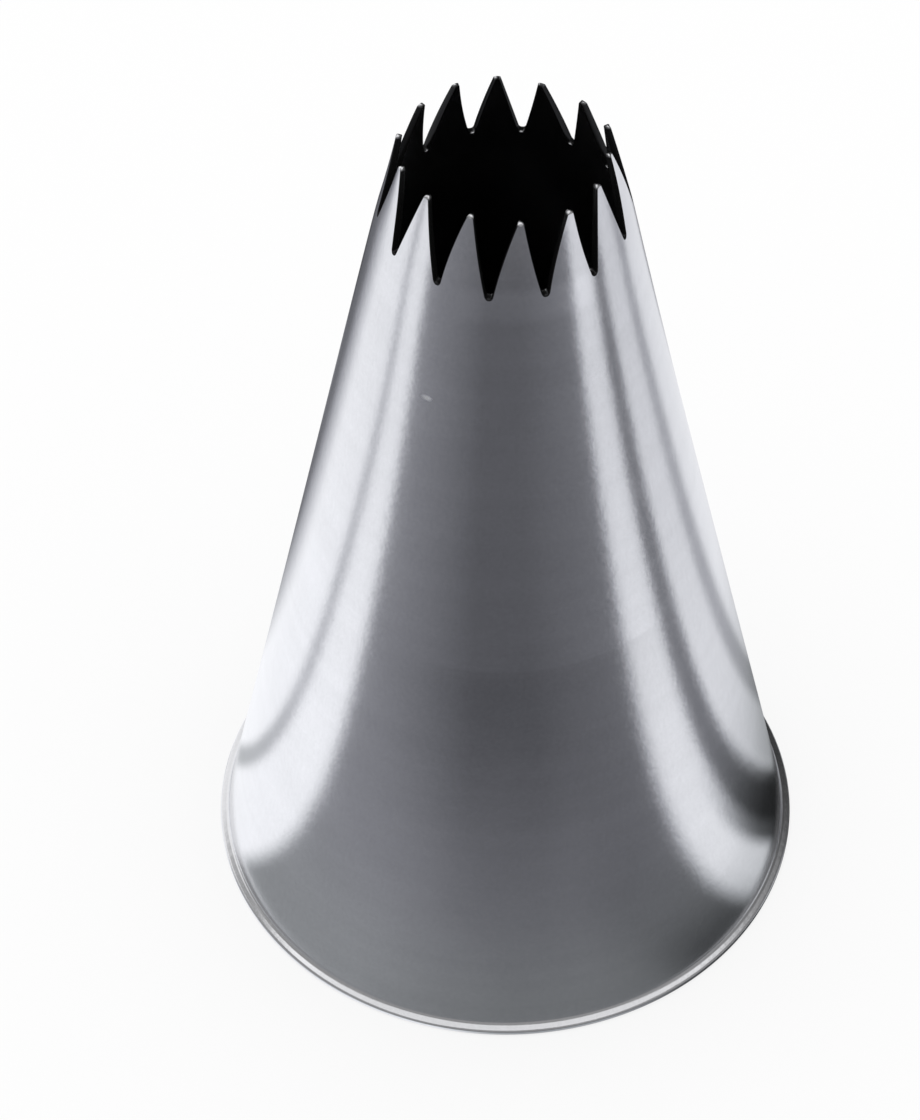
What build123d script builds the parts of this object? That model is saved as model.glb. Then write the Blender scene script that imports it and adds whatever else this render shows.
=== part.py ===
"""Open star piping nozzle, pressed from one piece of stainless sheet.

The nozzle stands on its lip, with its axis on Z and the origin at the centre of the lip's underside.
A conical wall rises from the lip to a crown of pointed teeth, cut between evenly spaced notches.
"""

from build123d import *
import math
import os

os.makedirs("parts", exist_ok=True)

# Overall sizes, in millimetres
height = 50.0  # lip's underside to the tooth tips
base_diameter = 33.0  # across the lip
sheet_thickness = 0.5  # of the stainless sheet, the same all over

# Lip, turned outwards where the drawn wall was trimmed
lip_reach = 0.5  # from the wall's outer face to the trimmed edge, at the lip's upper face
lip_bend_radius = 0.2  # of the hollow corner above the lip
lip_edge_radius = 0.1  # where the trimmed edge was tumbled smooth

# Crown, the ring of teeth that leans in a little more than the wall below it
neck_diameter = 12.6  # across the outer face where the notches begin
crown_diameter = 10.4  # across the outer face at the tooth tips
neck_bend_radius = 3.0  # of the gentle bend between the wall and the crown

# Notches and teeth
tooth_count = 14
notch_depth = 4.15  # tooth tips to the notch's floor
notch_floor_width = 0.36
notch_corner_radius = 0.12  # at each end of the notch's floor
tooth_tip_width = 0.3  # across a tip before it is rounded
tooth_tip_radius = 0.09
trim_overrun = 1.0  # how far the blank and each cut run past what they trim

base_radius = base_diameter / 2
neck_radius = neck_diameter / 2
crown_radius = crown_diameter / 2
neck_height = height - notch_depth
crown_slope = (neck_radius - crown_radius) / notch_depth
blank_height = height + trim_overrun
blank_radius = crown_radius - trim_overrun * crown_slope

# Each notch is cut straight through the wall, and its cut runs past the tips beside it
half_pitch = math.pi / tooth_count
tooth_tip_place = crown_radius * math.sin(half_pitch)
notch_mouth_half_width = tooth_tip_place - tooth_tip_width / 2
notch_cut_half_width = tooth_tip_place + trim_overrun
notch_cut_top = blank_height + trim_overrun


def notch_plane(index):
    """The upright plane through the axis that faces out of one notch, half a pitch on from a tooth."""
    turn = math.degrees(half_pitch * (2 * index + 1))
    across = Vector(1, 0, 0).rotate(Axis.Z, turn)
    outwards = Vector(0, -1, 0).rotate(Axis.Z, turn)
    return Plane(origin=(0, 0, 0), x_dir=across, z_dir=outwards)


with BuildPart() as nozzle:
    # Wall: the outer face in section, given the sheet's thickness and turned about the axis
    with BuildSketch(Plane.XZ) as wall_section:
        with BuildLine():
            outer_face = FilletPolyline(
                (base_radius, sheet_thickness),
                (base_radius - lip_reach, sheet_thickness),
                (neck_radius, neck_height),
                (blank_radius, blank_height),
                radius=(lip_bend_radius, neck_bend_radius),
            )
            offset(outer_face, amount=sheet_thickness, side=Side.LEFT)
        make_face()
        lip_edge_corners = wall_section.vertices().group_by(Axis.X)[-1]
        fillet(lip_edge_corners, radius=lip_edge_radius)
    revolve(axis=Axis.Z)

    # Crown: each notch in turn, half of it drawn from the floor up and out over the tooth tip
    for index in range(tooth_count):
        with BuildSketch(notch_plane(index)):
            with BuildLine():
                FilletPolyline(
                    (0, neck_height),
                    (notch_floor_width / 2, neck_height),
                    (notch_mouth_half_width, height),
                    (notch_cut_half_width, height),
                    radius=(notch_corner_radius, tooth_tip_radius),
                )
                Polyline(
                    (notch_cut_half_width, height),
                    (notch_cut_half_width, notch_cut_top),
                    (0, notch_cut_top),
                    (0, neck_height),
                )
            make_face()
            mirror(about=Plane.YZ)
        extrude(amount=base_radius, mode=Mode.SUBTRACT)

nozzle.part.label = "nozzle"
export_step(nozzle.part, "parts/nozzle.step")
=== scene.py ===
"""Open star piping nozzle in satin stainless steel, standing on its lip on a pale studio floor."""

import math

import bpy
import numpy as np
from mathutils import Matrix, Vector


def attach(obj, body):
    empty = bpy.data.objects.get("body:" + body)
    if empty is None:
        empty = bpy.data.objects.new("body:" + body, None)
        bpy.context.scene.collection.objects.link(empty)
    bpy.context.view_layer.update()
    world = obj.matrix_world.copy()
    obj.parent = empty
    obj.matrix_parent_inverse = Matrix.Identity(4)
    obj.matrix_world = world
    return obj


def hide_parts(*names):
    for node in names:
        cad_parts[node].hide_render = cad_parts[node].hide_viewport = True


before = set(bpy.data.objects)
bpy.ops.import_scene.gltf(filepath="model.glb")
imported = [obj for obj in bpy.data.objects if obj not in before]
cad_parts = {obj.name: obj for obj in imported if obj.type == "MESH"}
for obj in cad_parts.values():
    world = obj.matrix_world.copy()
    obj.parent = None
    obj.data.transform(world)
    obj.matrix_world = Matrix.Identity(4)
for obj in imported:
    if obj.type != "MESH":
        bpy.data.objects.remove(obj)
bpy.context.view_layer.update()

# Nozzle: one disc of stainless sheet, drawn and spun into a seamless cone and then tumbled smooth.
# Its drawn wall is trimmed into a small lip at the base, and a punch has cut the notches between
# the pointed teeth around the outlet, which leans in a little more than the wall below it.

mm = 0.001
height = 50.0 * mm
lip_radius = 16.49 * mm
sheet = 0.5 * mm  # of the disc, as it still is at the lip
drawn_thinner = 0.05 * mm  # how much of that the drawing took by the notch floors
worn_thinner = 0.16 * mm  # and how much the teeth lose on top of that, up to their tips
wall_foot = 16.0 * mm  # the outer face where it would meet the lip's upper face
lip_root = 0.44 * mm  # the lip's upper face where it meets the wall
lip_edge = 0.36 * mm  # the trimmed edge's height, pinched a little thinner than the sheet
lip_bend = 0.25 * mm  # radius of the hollow corner above the lip
lip_rounding = 0.14 * mm  # of the trimmed edge

tooth_count = 14
half_pitch = math.pi / tooth_count
notch_depth = 4.15 * mm
neck_radius = 6.3 * mm
crown_radius = 5.2 * mm
neck_softness = 0.22 * mm  # height over which the wall turns into the crown
notch_floor_width = 0.32 * mm
notch_corner = 0.13 * mm
tooth_tip_width = 0.3 * mm
tooth_tip_rounding = 0.15 * mm
cut_rounding = 0.035 * mm  # of the punched edges, after tumbling
tip_polish = 0.13 * mm  # the same at the tips, which rub most in the tumbler
inner_tip_polish = 0.06 * mm  # less on the inner side, where a tip is narrower
floor_polish = 0.09 * mm  # and at the notch floors
even_height = 42.0 * mm  # below this the grid's columns are evenly spaced

neck_height = height - notch_depth
wall_slope = (wall_foot - neck_radius) / (neck_height - sheet)
crown_slope = (neck_radius - crown_radius) / notch_depth


def wall_radius(z):
    """The outer face's radius: a straight cone up to the neck and a steeper one above it.

    The steeper part comes in by softness * log(1 + exp((z - neck) / softness)) times the extra slope.
    """
    past_neck = np.logaddexp(0, (z - neck_height) / neck_softness) * neck_softness
    cone = neck_radius - wall_slope * (z - neck_height)
    return cone - (crown_slope - wall_slope) * past_neck


def wall_depth(z):
    """The sheet's thickness measured level: it falls evenly up the wall, and faster up the teeth."""
    up_tooth = np.clip((z - neck_height) / notch_depth, 0, 1)
    return (sheet - drawn_thinner * z / neck_height - worn_thinner * up_tooth) * math.hypot(1, wall_slope)


def rounded_path(corners, radii, runs, arc_steps):
    """Points and unit headings along straight runs joined by tangent arcs.

    An arc of radius r that turns by a starts r * tan(a / 2) before its corner. Each entry of runs holds
    the shares of that run, from 0 to 1, at which it has points.
    """
    corners = np.array(corners, float)
    headings = np.diff(corners, axis=0)
    headings /= np.linalg.norm(headings, axis=1)[:, None]
    cross = headings[:-1, 0] * headings[1:, 1] - headings[:-1, 1] * headings[1:, 0]
    turns = np.arctan2(cross, np.sum(headings[:-1] * headings[1:], axis=1))
    trims = np.array(radii) * np.tan(np.abs(turns) / 2)
    points, ways = [], []
    for run in range(len(headings)):
        start = corners[run] + (headings[run] * trims[run - 1] if run else 0)
        last = run == len(headings) - 1
        end = corners[run + 1] - (0 if last else headings[run] * trims[run])
        shares = np.asarray(runs[run])[:, None]
        points.append(start + shares * (end - start))
        ways.append(np.repeat(headings[run][None], len(shares), axis=0))
        if last:
            continue
        angle = np.linspace(0, turns[run], arc_steps[run] + 1)[1:-1, None]
        side = np.sign(turns[run]) * np.array([-headings[run][1], headings[run][0]])
        centre = end + side * radii[run]
        points.append(centre + radii[run] * (headings[run] * np.sin(np.abs(angle)) - side * np.cos(angle)))
        ways.append(headings[run] * np.cos(angle) + side * np.sin(np.abs(angle)))
    return np.concatenate(points), np.concatenate(ways)


# The cut edge of half a notch, seen level from outside: from the middle of its floor, up the flank
# and over to the middle of a tooth. Its normal points into the metal.
tooth_middle = crown_radius * math.sin(half_pitch)
edge_corners = [
    (0, neck_height),
    (notch_floor_width / 2, neck_height),
    (tooth_middle - tooth_tip_width / 2, height),
    (tooth_middle + sheet, height),
]
run_points, bend_steps = 60, 24
fine = np.linspace(0, 1, run_points)
edge, edge_way = rounded_path(
    edge_corners, (notch_corner, tooth_tip_rounding), [fine] * 3, (bend_steps, bend_steps))
edge_in = np.stack([edge_way[:, 1], -edge_way[:, 0]], axis=1)
edge_length = np.concatenate([[0], np.cumsum(np.linalg.norm(np.diff(edge, axis=0), axis=1))])


def length_at(value, amount):
    """How far along the edge curve a value that grows along it reaches an amount."""
    return np.interp(amount, value, edge_length)


run_ends = np.cumsum([run_points - 1, bend_steps, run_points - 1, bend_steps])
floor_end, corner_end, flank_end, tip_end = edge_length[run_ends]
full_end = length_at(edge[:, 0], tooth_middle)

# Columns of the grid on half a notch: on its floor, the floor's corner, the flank, the tip's rounding
# and the rest of the way to the middle of the tooth
column_counts = (1, 5, 11, 5, 2)
stops = (0, floor_end, corner_end, flank_end, tip_end, full_end)
column_marks = [
    np.linspace(start, end, count, endpoint=False)
    for start, end, count in zip(stops, stops[1:], column_counts)
]
column_marks = np.concatenate([*column_marks, [full_end]])
half_columns = sum(column_counts)

# The polish grows over the first five eighths of a tip's rounding, and ends just past halfway up a
# floor's corner
at_tip = np.clip((edge_length - flank_end) / (tip_end - flank_end) * 1.6, 0, 1)
at_floor = np.clip((corner_end - edge_length) / (corner_end - floor_end) * 1.8 - 0.8, 0, 1)
edge_rounding = cut_rounding + (tip_polish - cut_rounding) * at_tip
edge_rounding = edge_rounding + (floor_polish - cut_rounding) * at_floor


def cut_row(across, in_share, out_share):
    """One row of the crown's cut: lateral place and height of half a notch, and its depth.

    The depth is given as a share across the sheet and a length to add to it, which is out_share times
    the rounding there. The row is inset from the edge curve by in_share times the rounding. Nearer the
    axis a tooth is narrower, so its last columns are drawn closer together to end on its middle plane.
    They move by the sixth power of their share of the way there, which leaves the flank almost alone.
    """
    rounding = edge_rounding - across * at_tip * (tip_polish - inner_tip_polish)
    side = edge[:, 0] + in_share * rounding * edge_in[:, 0]
    level = edge[:, 1] + in_share * rounding * edge_in[:, 1]
    deeper = out_share * rounding
    reach = side - (wall_radius(level) - across * wall_depth(level) - deeper) * math.sin(half_pitch)
    end = length_at(np.maximum.accumulate(reach), 0)
    share = np.clip((column_marks - corner_end) / (full_end - corner_end), 0, 1) ** 6
    marks = column_marks + (end - full_end) * share
    side = np.interp(marks, edge_length, side)
    level = np.interp(marks, edge_length, level)
    deeper = np.interp(marks, edge_length, deeper)
    last_radius = wall_radius(level[-1]) - across * wall_depth(level[-1]) - deeper[-1]
    side[-1] = last_radius * math.sin(half_pitch)
    return side, level, across, deeper


# No two teeth are quite alike. From the front tooth on, turning towards +X: how much shorter each tooth
# is, how far its tip is bent sideways and how far outwards, then how high each notch floor is and how far
# it is turned.
tip_drop = np.array([34, 40, 10, 0, 16, 39, 35, 7, 0, 0, 0, 0, 10, 12]) * 0.01 * mm
tooth_lean = np.array([46, 78, 15, 0, 0, 10, 28, 0, -35, -42, 0, 0, 0, 32]) * 0.001
tooth_splay = np.array([0, 0, 0, -15, 0, 0, 0, 0, 0, 0, 15, 15, 0, 0]) * 0.01 * mm
floor_rise = np.array([4, 7, 28, 25, 20, 5, 9, 22, 14, 30, 30, 20, 22, 2]) * 0.01 * mm
notch_turn = np.array([6, 0, 0, 0, 0, 0, 0, -25, -20, -10, 0, 0, 35, 13]) * 0.001


def ring_of(side, level, across, deeper):
    """A half row as a whole ring of columns: azimuth, radius and height, with each notch a little uneven.

    Azimuth is measured from -Y towards +X. The lateral place x of a cut point becomes asin(x / radius).
    """
    side = np.concatenate([-side[:0:-1], side[:-1]])
    level = np.concatenate([level[:0:-1], level[:-1]])
    deeper = np.concatenate([deeper[:0:-1], deeper[:-1]])
    radius = wall_radius(level) - across * wall_depth(level) - deeper
    up = (level - neck_height) / notch_depth
    notch = np.arange(tooth_count)
    before, after = notch, (notch + 1) % tooth_count
    left = np.arange(2 * half_columns) < half_columns
    tooth = np.where(left[None], before[:, None], after[:, None])
    turn = tooth_lean[tooth] * up**2 + notch_turn[:, None] * (1 - up) ** 2
    azimuth = half_pitch * (2 * notch[:, None] + 1) + np.arcsin(side / radius) + turn
    level = level + floor_rise[:, None] * (1 - up) - tip_drop[tooth] * up
    radius = wall_radius(level) - across * wall_depth(level) - deeper
    return azimuth.ravel(), radius.ravel(), level.ravel()


even_azimuth = np.arange(2 * half_columns * tooth_count) * (math.pi / half_columns / tooth_count)


def wall_rows(edge_azimuth, edge_level, shares):
    """Rows between the crown and the evenly spaced part: azimuth and height run from one to the other.

    Height is linear in the share, and azimuth follows share**2 * (3 - 2 * share).
    """
    share = np.asarray(shares)[:, None]
    ease = share**2 * (3 - 2 * share)
    level = even_height + (edge_level - even_height) * share
    return even_azimuth + (edge_azimuth - even_azimuth) * ease, level


# Low waves that the spinning and drawing left in the wall. Each one has how many times it goes up and
# down around the wall, its length up the wall, its depth and its phase.
waves = [
    (2, 90.0 * mm, 0.030 * mm, 0.4),
    (3, 60.0 * mm, 0.012 * mm, 1.9),
    (5, 38.0 * mm, 0.006 * mm, 4.2),
    (7, 26.0 * mm, 0.004 * mm, 2.6),
]
calm_foot = 3.0 * mm  # the waves fade out over this much of the wall above the lip
calm_top = 6.0 * mm  # and over this much of it below the tips
forming_height = 24.3 * mm
forming_depth = 0.015 * mm
forming_width = 0.22 * mm
forming_middle = math.radians(6)  # the line is left on the front only, around here
forming_reach = math.radians(40)


def unevenness(azimuth, z):
    """How far the real wall departs from the cone: low sine waves and one shallow forming line.

    The line is exp(-((z - its height) / its width) ** 2), whole over the middle half of its reach around
    the front and fading out evenly from there.
    """
    fade = np.clip(z / calm_foot, 0, 1) * np.clip((height - z) / calm_top, 0, 1)
    total = np.zeros(np.broadcast(azimuth, z).shape)
    for turns, length, depth, phase in waves:
        total = total + depth * np.sin(turns * azimuth + 2 * math.pi * z / length + phase)
    line = np.exp(-(((z - forming_height) / forming_width) ** 2))
    aside = np.abs((azimuth - forming_middle + math.pi) % (2 * math.pi) - math.pi)
    return total * fade - forming_depth * line * np.clip(2 - 2 * aside / forming_reach, 0, 1)


crown_shift = (0.18 * mm, 0.43 * mm)  # the outlet sits this far off the lip's axis


def rows_to_points(azimuth, radius, level):
    """Cylinder coordinates as points, with the wall's unevenness added to the radius.

    A tooth's splay grows with the square of the height above the neck, times cos(pi * place) ** 2 across
    the tooth. The axis bends aside by the crown's shift times (z / height) ** 7.
    """
    place = azimuth / (2 * half_pitch)
    tooth = np.rint(place).astype(int) % tooth_count
    up = np.clip((level - neck_height) / notch_depth, 0, 1)
    radius = radius + unevenness(azimuth, level) + tooth_splay[tooth] * (up * np.cos(math.pi * place)) ** 2
    bend = (level / height) ** 7
    x = radius * np.sin(azimuth) + crown_shift[0] * bend
    y = -radius * np.cos(azimuth) + crown_shift[1] * bend
    return np.stack([x, y, level + 0 * x], axis=-1)


# Over the cut from outside to inside: a quarter round, two rows across its flat and a quarter round
quarter = np.radians(np.linspace(0, 90, 6))
inset_down, depth_down = 1 - np.sin(quarter), 1 - np.cos(quarter)
cut_rows = [(0, inset, depth) for inset, depth in zip(inset_down, depth_down)]
cut_rows += [(0.47, 0, 0), (0.53, 0, 0)]
cut_rows += [(1, inset, -depth) for inset, depth in zip(inset_down[::-1], depth_down[::-1])]
rows = [rows_to_points(*ring_of(*cut_row(*cut))) for cut in cut_rows]

beside_cut = 1.12  # a row this many roundings from the cut keeps the rounding narrow
blend_shares = np.array([1.0, 0.965, 0.91, 0.83, 0.73, 0.62, 0.5, 0.38, 0.26, 0.13])

# Inner wall down from the crown
azimuth, _, level = ring_of(*cut_row(1, beside_cut, 0))
azimuth, level = wall_rows(azimuth, level, blend_shares)
rows.extend(rows_to_points(azimuth, wall_radius(level) - wall_depth(level), level))

# Around the lip in section: down inside, under, and up the outer face
section_corners = [
    (wall_radius(even_height) - wall_depth(even_height), even_height),
    (wall_foot + wall_slope * sheet - wall_depth(0), 0),
    (lip_radius, 0),
    (lip_radius, lip_edge),
    (wall_foot + wall_slope * (sheet - lip_root), lip_root),
    (wall_radius(even_height), even_height),
]
section_roundings = (lip_bend + sheet, lip_rounding, lip_rounding, lip_bend)

# The outer face has its rows closer together at the foot and at the forming line, and none that touch
forming_share = (forming_height - lip_root) / (even_height - lip_root)
around_line = forming_share + np.linspace(-1, 1, 7) * 0.5 * mm / even_height
outer_shares = np.unique(np.concatenate([np.linspace(0, 1, 41) ** 1.15, around_line]))
outer_shares = outer_shares[np.diff(outer_shares, prepend=-1) > 0.002]
section_runs = [np.linspace(0, 1, 13), [0, 0.5, 1], [0, 0.5, 1], [0, 1], outer_shares]
section, _ = rounded_path(section_corners, section_roundings, section_runs, (6, 4, 5, 6))
rows.extend(rows_to_points(even_azimuth[None], section[:, :1], section[:, 1:]))

# Outer wall up to the crown
azimuth, _, level = ring_of(*cut_row(0, beside_cut, 0))
azimuth, level = wall_rows(azimuth, level, blend_shares[::-1])
rows.extend(rows_to_points(azimuth, wall_radius(level), level))

grid = np.array(rows)
row_count, column_count = grid.shape[:2]
index = np.arange(row_count * column_count).reshape(row_count, column_count)
next_row = np.roll(index, -1, axis=0)
faces = np.stack([index, np.roll(index, -1, 1), np.roll(next_row, -1, 1), next_row], axis=-1).reshape(-1, 4)

mesh = bpy.data.meshes.new("nozzle_sheet")
mesh.from_pydata(grid.reshape(-1, 3), [], faces)
mesh.polygons.foreach_set("use_smooth", np.ones(len(mesh.polygons), bool))

# How dull the metal is: 1 on the punched faces, where it tore and is painted near-black as shade, and 0
# where it is drawn or tumbled bright. The tumbler has rubbed the tips from outside and the notch floors from
# inside.
outer_rub, inner_rub, rub_fade = 2.6, 1.85, 0.32
tip_columns = np.interp(column_marks, edge_length, at_tip)
floor_columns = np.interp(column_marks, edge_length, at_floor)
cut_row_number = np.arange(len(cut_rows))[:, None]
outer_part = np.clip(outer_rub - cut_row_number * rub_fade, 0, 1)
inner_part = np.clip(inner_rub - cut_row_number[::-1] * rub_fade, 0, 1)
half = 1 - np.maximum(tip_columns * outer_part, floor_columns * inner_part)
dull_and_shaded = np.zeros((row_count, column_count))
dull_and_shaded[:len(cut_rows)] = np.tile(np.concatenate([half[:, :0:-1], half[:, :-1]], axis=1), tooth_count)
dull_and_shaded_layer = mesh.attributes.new("dull_and_shaded", "FLOAT", "POINT")
dull_and_shaded_layer.data.foreach_set("value", dull_and_shaded.ravel())
mesh.update()
nozzle = bpy.data.objects.new("nozzle_sheet", mesh)
bpy.context.scene.collection.objects.link(nozzle)


class Signal:
    """A socket of a node tree. Sums on it add Math nodes, and node() adds any other node."""

    def __init__(self, tree, socket=None):
        self.tree = tree
        self.socket = socket

    def node(self, kind, settings=None, inputs=None, output=0):
        """Adds one node: its settings are set first, then its sockets get their values or links."""
        made = self.tree.nodes.new(kind)
        for name, value in (settings or {}).items():
            setattr(made, name, value)
        for name, value in (inputs or {}).items():
            if isinstance(value, Signal):
                self.tree.links.new(value.socket, made.inputs[name])
            else:
                made.inputs[name].default_value = value
        return Signal(self.tree, made.outputs[output] if made.outputs else None)

    def out(self, name):
        """Another output of the same node."""
        return Signal(self.tree, self.socket.node.outputs[name])

    def maths(self, operation, *values):
        """A Math node on this socket and the values given."""
        inputs = dict(enumerate((self, *values)))
        return self.node("ShaderNodeMath", {"operation": operation}, inputs)

    def __add__(self, other):
        return self.maths("ADD", other)

    def __mul__(self, other):
        return self.maths("MULTIPLY", other)

    def __sub__(self, other):
        return self.maths("SUBTRACT", other)

    def __truediv__(self, other):
        return self.maths("DIVIDE", other)

    def __rsub__(self, other):
        return self * -1 + other

    __radd__ = __add__
    __rmul__ = __mul__

    def smooth(self, low, high):
        """0 below low and 1 above high, with a smooth step between them."""
        return self.node("ShaderNodeMapRange", {"interpolation_type": "SMOOTHSTEP"},
                         {"Value": self, "From Min": low, "From Max": high})

    def ramp(self, low, high):
        """0 below low and 1 above high, and straight between them."""
        return self.node("ShaderNodeMapRange", inputs={"Value": self, "From Min": low, "From Max": high})

    def between(self, low, high, edge):
        """1 between low and high, with edges of that softness, and 0 outside."""
        return self.smooth(low - edge, low + edge) * (1 - self.smooth(high - edge, high + edge))


def new_tree(name):
    """A material with an empty node tree, and its tree."""
    made = bpy.data.materials.new(name)
    made.use_nodes = True
    made.node_tree.nodes.clear()
    return made, Signal(made.node_tree)


steel_colour = (0.80, 0.803, 0.826, 1)
steel_roughness = 0.19
relief_height = 0.0012 * mm  # of the tumbled grain
# near black: the punched faces are painted in it as shade
painted_shade_colour = (0.004, 0.004, 0.004, 1)
painted_reflection_band = (44.7 * mm, 46.3 * mm, 0.4 * mm)  # from, to and softness of the paler band under the teeth, a painted reflection

# A short nick that some other tool left in the wall, high on the left of the front. Its dent and roughness
# are real, and its paler colour is a painted highlight.
nick_height = 39.8 * mm
nick_azimuth = math.radians(35)
nick_half_length = 0.42 * mm
nick_half_width = 0.2 * mm


def stainless_steel():
    """Satin stainless: fine tumbled grain, faint drawn lines up the wall and turned lines around it.

    The front is a little darker below the forming line, and paler in a band under the teeth, as a painted
    reflection. The punched faces are torn, take no shine and are painted near-black as shade.
    """
    material, tree = new_tree("stainless_steel")
    place = tree.node("ShaderNodeTexCoord").out("Object")
    parts = tree.node("ShaderNodeSeparateXYZ", inputs={0: place})
    x, y, z = parts.out("X"), parts.out("Y"), parts.out("Z")
    radius = (x * x + y * y).maths("SQRT")

    # The drawn and the turned lines are noise that is stretched up the wall and around it
    up_wall = tree.node("ShaderNodeCombineXYZ", inputs={0: x / radius, 1: y / radius, 2: z * 25})
    drawn = tree.node("ShaderNodeTexNoise", inputs={"Vector": up_wall, "Scale": 60, "Detail": 4})
    around = tree.node("ShaderNodeCombineXYZ", inputs={0: x * 30, 1: y * 30, 2: z * 1000})
    turned = tree.node("ShaderNodeTexNoise", inputs={"Vector": around, "Scale": 0.9, "Detail": 3})
    grain = tree.node("ShaderNodeTexNoise", inputs={"Vector": place, "Scale": 5200, "Detail": 3})
    pebbles = tree.node("ShaderNodeTexNoise", inputs={"Vector": place, "Scale": 1900, "Detail": 2})
    mottle = tree.node("ShaderNodeTexNoise", inputs={"Vector": place, "Scale": 260, "Detail": 3})
    dull_and_shaded = tree.node("ShaderNodeAttribute", {"attribute_name": "dull_and_shaded"}).out("Fac")

    in_front = (x * math.sin(forming_middle) - y * math.cos(forming_middle)) / radius
    in_front = in_front.smooth(math.cos(forming_reach), math.cos(forming_reach / 3))
    over_line = z.smooth(forming_height - 0.15 * mm, forming_height + 0.1 * mm)
    below_line = z.smooth(12 * mm, 24 * mm) * (1 - over_line) * in_front
    painted_reflection_under_teeth = z.between(*painted_reflection_band) * in_front

    nick_radius = wall_radius(nick_height)
    nick_x, nick_y = -nick_radius * math.sin(nick_azimuth), -nick_radius * math.cos(nick_azimuth)
    from_nick = tree.node("ShaderNodeCombineXYZ", inputs={
        0: (x - nick_x) / nick_half_length,
        1: (y - nick_y) / nick_half_length,
        2: (z - nick_height) / nick_half_width})
    from_nick = tree.node("ShaderNodeVectorMath", {"operation": "LENGTH"}, {0: from_nick}).out("Value")
    nick = 1 - from_nick.smooth(0.2, 1)

    tone = (mottle - 0.5) * 0.12 + (turned - 0.5) * 0.10 + (drawn - 0.5) * 0.06 + (grain - 0.5) * 0.12
    # The band under the teeth is made paler as a painted reflection
    tone = tone - below_line * 0.09 + over_line * in_front * 0.03 + painted_reflection_under_teeth * 0.16 + 1.01
    # The nick's paler colour is a painted highlight
    tone = tone + nick * 0.2
    colour = tree.node("ShaderNodeMix", {"data_type": "RGBA", "blend_type": "MULTIPLY"},
                       {0: 1.0, 6: steel_colour, 7: tone}, output=2)
    roughness = (mottle - 0.5) * 0.06 + (grain - 0.5) * 0.06 + steel_roughness + nick * 0.3
    relief = grain * 1.0 + pebbles * 5.0 + turned * 0.4 + drawn * 0.3 - nick * 9.0
    bump = tree.node("ShaderNodeBump", inputs={"Strength": 1.0, "Distance": relief_height, "Height": relief})
    bright = tree.node("ShaderNodeBsdfPrincipled", inputs={
        "Base Color": colour, "Metallic": 1.0, "Roughness": roughness, "Normal": bump})
    painted_cut_shade = tree.node("ShaderNodeBsdfDiffuse", inputs={"Color": painted_shade_colour})
    # The punched faces take the near-black diffuse in place of the metal, as painted shade
    surface = tree.node("ShaderNodeMixShader", inputs={0: dull_and_shaded * 0.97, 1: bright, 2: painted_cut_shade})
    tree.node("ShaderNodeOutputMaterial", inputs={"Surface": surface})
    return material


mesh.materials.append(stainless_steel())
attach(nozzle, "root")
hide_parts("nozzle")

# Studio: a pale floor and a white room, with a softbox overhead. Steel shows what stands around it, so dark
# and pale cards are painted as glow on the floor and in the room: painted reflections, seen only in the
# steel.

view_turn = math.radians(3.8)  # the front tooth stands this far right of the middle of the view
card_centre = 4.0 * mm  # the cards' edges run out from a point this far behind the axis
white_card = 1.10

# From and to, in degrees right of the viewer, softness, how dark each one is, and how far it slants
cards = [
    (48, 150, 5, 0.15, 0),
    (86, 114, 6, 0.09, 0),
    (71, 82, 2.5, 0.78, 0),
    (102, 112.5, 3, 0.46, 0),
    (-93, -87.3, 2, 0.48, 8.5),
    (-158, -122, 8, 0.45, 3),
    (-158, -134, 9, 0.72, 3),
]
front_card = (-63.3, 52.3, 3.5, 0.31)  # the last is how bright its left edge is
foot_card = (66, 84.5, 2.5)  # a dark patch in the painted glow close to the foot, on the right
back_card = (166, 152)  # half of it, near the nozzle and further away


def card_light(x, y, distance):
    """How bright the surroundings are in a level direction, at some distance from the nozzle's axis."""
    turned_x = x * math.cos(view_turn) - y * math.sin(view_turn)
    turned_y = x * math.sin(view_turn) + y * math.cos(view_turn)
    degrees = turned_x.maths("ARCTAN2", turned_y * -1) * (180 / math.pi)
    near_foot = 1 - distance.smooth(wall_foot, 2 * wall_foot)
    slanting = distance.ramp(wall_foot, 72 * mm)

    light = white_card - distance.ramp(40 * mm, 90 * mm) * 0.14
    for start, end, edge, dark, slant in cards:
        light = light * (1 - (degrees - slanting * slant).between(start, end, edge) * dark)
    light = light * (1 - degrees.between(*foot_card) * near_foot * 0.92)

    # The front card is palest on the left. Its middle is dark, less so near the nozzle.
    start, end, edge, pale = front_card
    middle = degrees.ramp(-64, -14) * (1 - degrees.ramp(10, 44) * 0.36)
    middle = middle * (0.66 - distance.ramp(55 * mm, 100 * mm) * 0.06)
    near_middle = degrees.smooth(-40, 5) * 0.37 + degrees.smooth(16, 34) * 0.14
    front = 1 - near_middle - (middle - near_middle) * distance.ramp(20 * mm, 52 * mm)
    in_front = degrees.between(start, end, edge)
    light = light + (front * pale - light) * in_front

    # It is darker close to the foot on the right, and behind the nozzle a card hides the white
    close = 1 - distance.smooth(wall_foot, 23 * mm)
    light = light * (1 - (degrees.between(33, 53, 7) * 0.6 + degrees.smooth(50, 57) * 0.3) * close)
    light = light * (1 - degrees.smooth(80, 88) * near_foot * 0.4)
    back = degrees.maths("ABSOLUTE")
    behind = back.smooth(back_card[0] - 4, back_card[0] + 4)
    far_behind = back.smooth(back_card[1] - 6, back_card[1] + 6) * distance.smooth(35 * mm, 50 * mm)
    light = light * (1 - behind.maths("MAXIMUM", far_behind) * 0.9)

    # Right beside the lip it is white on the left and dark on the right
    at_lip = 1 - distance.smooth(lip_radius + 0.15 * mm, lip_radius + 0.6 * mm)
    lip_light = 1 - degrees.smooth(-12, 1) * 0.56 - degrees.smooth(14, 33) * 0.36
    lip_light = lip_light - degrees.between(64, 94, 8) * 0.07
    return light + (lip_light - light) * at_lip


near_card_colour = (0.915, 0.965, 1.0, 1)
dark_card_colour = (0.88, 0.895, 1.0, 1)
pale_card_colour = (0.965, 0.975, 1.0, 1)


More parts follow.
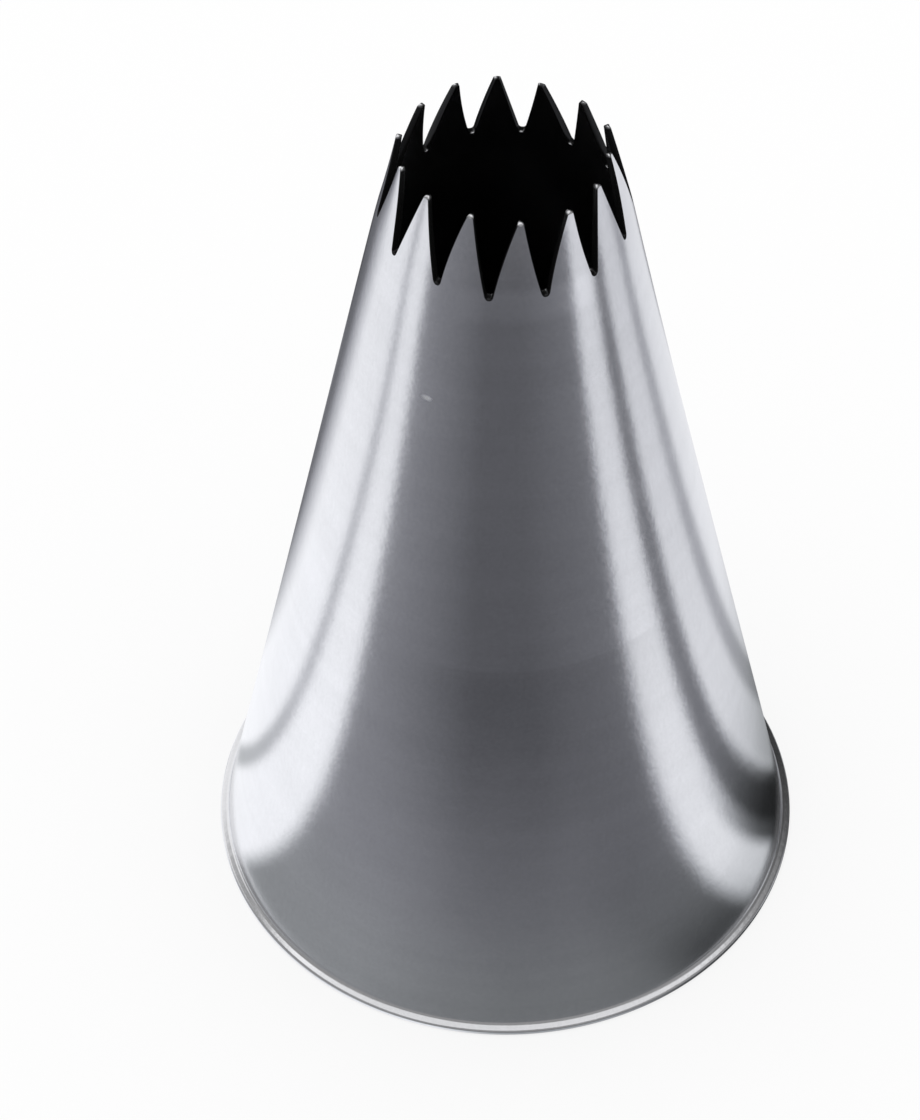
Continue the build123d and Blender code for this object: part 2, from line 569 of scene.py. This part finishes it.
def card_glow(tree, light, distance):
    """Light of that brightness, a little bluer where it is dark and greener near the nozzle."""
    far = distance.smooth(15 * mm, 34 * mm)
    dark = tree.node("ShaderNodeMix", {"data_type": "RGBA"},
                     {0: far, 6: near_card_colour, 7: dark_card_colour}, output=2)
    colour = tree.node("ShaderNodeMix", {"data_type": "RGBA"},
                       {0: light, 6: dark, 7: pale_card_colour}, output=2)
    return {"Color": colour, "Strength": light}


floor_white = 0.96
floor_paper = 0.74  # the share of the floor's white that takes no shadow, for the camera


def floor_material():
    """A pale floor with a soft shadow on it, painted black under the nozzle as shade.

    In the steel it shows cards painted in its glow, a painted reflection, and no light under the nozzle.
    """
    material, tree = new_tree("floor")
    parts = tree.node("ShaderNodeSeparateXYZ", inputs={0: tree.node("ShaderNodeTexCoord").out("Object")})
    x, y = parts.out("X"), parts.out("Y")
    distance = (x * x + y * y).maths("SQRT")
    # Under the nozzle the glow and the floor are painted dark, as shade
    clear_of_painted_dark = distance.smooth(lip_radius - 0.9 * mm, lip_radius - 0.2 * mm)
    light = card_light(x, y - card_centre, distance) * clear_of_painted_dark
    glow = tree.node("ShaderNodeEmission", inputs=card_glow(tree, light, distance))
    clear_of_painted_shade = distance.smooth(lip_radius - sheet, lip_radius)
    matt = tree.node("ShaderNodeBsdfDiffuse", inputs={"Color": clear_of_painted_shade * floor_white})
    path = tree.node("ShaderNodeLightPath")
    paper = tree.node("ShaderNodeEmission", inputs={"Color": (1, 1, 1, 1), "Strength": clear_of_painted_shade})
    in_view = path.out("Is Camera Ray") * floor_paper
    seen = tree.node("ShaderNodeMixShader", inputs={0: in_view, 1: matt, 2: paper})
    both = tree.node("ShaderNodeMixShader", inputs={0: path.out("Is Glossy Ray"), 1: seen, 2: glow})
    tree.node("ShaderNodeOutputMaterial", inputs={"Surface": both})
    return material


floor_size = 3.0
floor_mesh = bpy.data.meshes.new("floor")
corner = floor_size / 2
floor_level = -0.02 * mm
floor_mesh.from_pydata(
    [(-corner, -corner, floor_level), (corner, -corner, floor_level),
     (corner, corner, floor_level), (-corner, corner, floor_level)], [], [(0, 1, 2, 3)])
floor_mesh.materials.append(floor_material())
floor = bpy.data.objects.new("floor", floor_mesh)
bpy.context.scene.collection.objects.link(floor)

left_panel = (-165, -115, 8)  # white up to the canopy, in degrees right of the viewer
front_panel = (-125, -105, 55, 150, 0.28)  # where its left edge and its right edge fade, and its grey
no_panel = 0.03
canopy = (47.5, 60, 3, 0.25)  # a grey band above them, in degrees above the floor
softbox_rim = (60, 64, 2.5, 0.8)  # the light ceiling around the softbox
room_light = 0.88


def room():
    """White to the camera and even on the floor. In the steel it has panels and a canopy."""
    world = bpy.data.worlds.new("room")
    bpy.context.scene.world = world
    world.use_nodes = True
    world.node_tree.nodes.clear()
    tree = Signal(world.node_tree)
    parts = tree.node("ShaderNodeSeparateXYZ", inputs={0: tree.node("ShaderNodeTexCoord").out("Generated")})
    x, y = parts.out("X"), parts.out("Y")
    up = parts.out("Z").maths("ARCSINE") * (180 / math.pi)
    degrees = x.maths("ARCTAN2", y * -1) * (180 / math.pi)
    left_start, left_end, right_start, right_end, grey = front_panel
    front = degrees.smooth(left_start, left_end) * (1 - degrees.smooth(right_start, right_end))
    panels = degrees.between(*left_panel).maths("MAXIMUM", front * grey + no_panel)
    in_steel = panels * (1 - up.smooth(canopy[0] - canopy[2], canopy[0] + canopy[2]))
    in_steel = in_steel + up.between(*canopy[:3]) * canopy[3] + up.between(*softbox_rim[:3]) * softbox_rim[3]
    path = tree.node("ShaderNodeLightPath")
    camera_ray, glossy_ray = path.out("Is Camera Ray"), path.out("Is Glossy Ray")
    strength = camera_ray + glossy_ray * in_steel + (1 - camera_ray - glossy_ray) * room_light
    light = tree.node("ShaderNodeBackground", inputs={"Color": (1, 1, 1, 1), "Strength": strength})
    tree.node("ShaderNodeOutputWorld", inputs={"Surface": light})


room()

softbox_size = 0.5
softbox_place = (0, 0.04, 0.6)
softbox_radiance = 0.85
softbox_light = bpy.data.lights.new("softbox", "AREA")
softbox_light.size = softbox_size
softbox_light.energy = math.pi * softbox_size**2 * softbox_radiance
softbox = bpy.data.objects.new("softbox", softbox_light)
softbox.location = softbox_place
bpy.context.scene.collection.objects.link(softbox)

# Camera: a little over 0.2 m away, looking down at the nozzle as in the photograph.

camera_place = Vector((-2.39, -130.65, 165.0)) * mm
camera_pitch = math.radians(47.81)
camera_roll = math.radians(-0.92)
sensor_width = 36
focal_length = 3613 / 1120  # of the picture's longer side
camera_data = bpy.data.cameras.new("camera")
camera_data.sensor_width = sensor_width
camera_data.lens = sensor_width * focal_length
camera_data.clip_start = 0.01
camera = bpy.data.objects.new("camera", camera_data)
look = Matrix.Rotation(math.pi / 2 - camera_pitch, 4, "X") @ Matrix.Rotation(camera_roll, 4, "Z")
camera.matrix_world = (
    Matrix.Rotation(-view_turn, 4, "Z") @ Matrix.Translation(camera_place) @ look)
bpy.context.scene.collection.objects.link(camera)
bpy.context.scene.camera = camera

bpy.context.scene.view_settings.view_transform = "Standard"
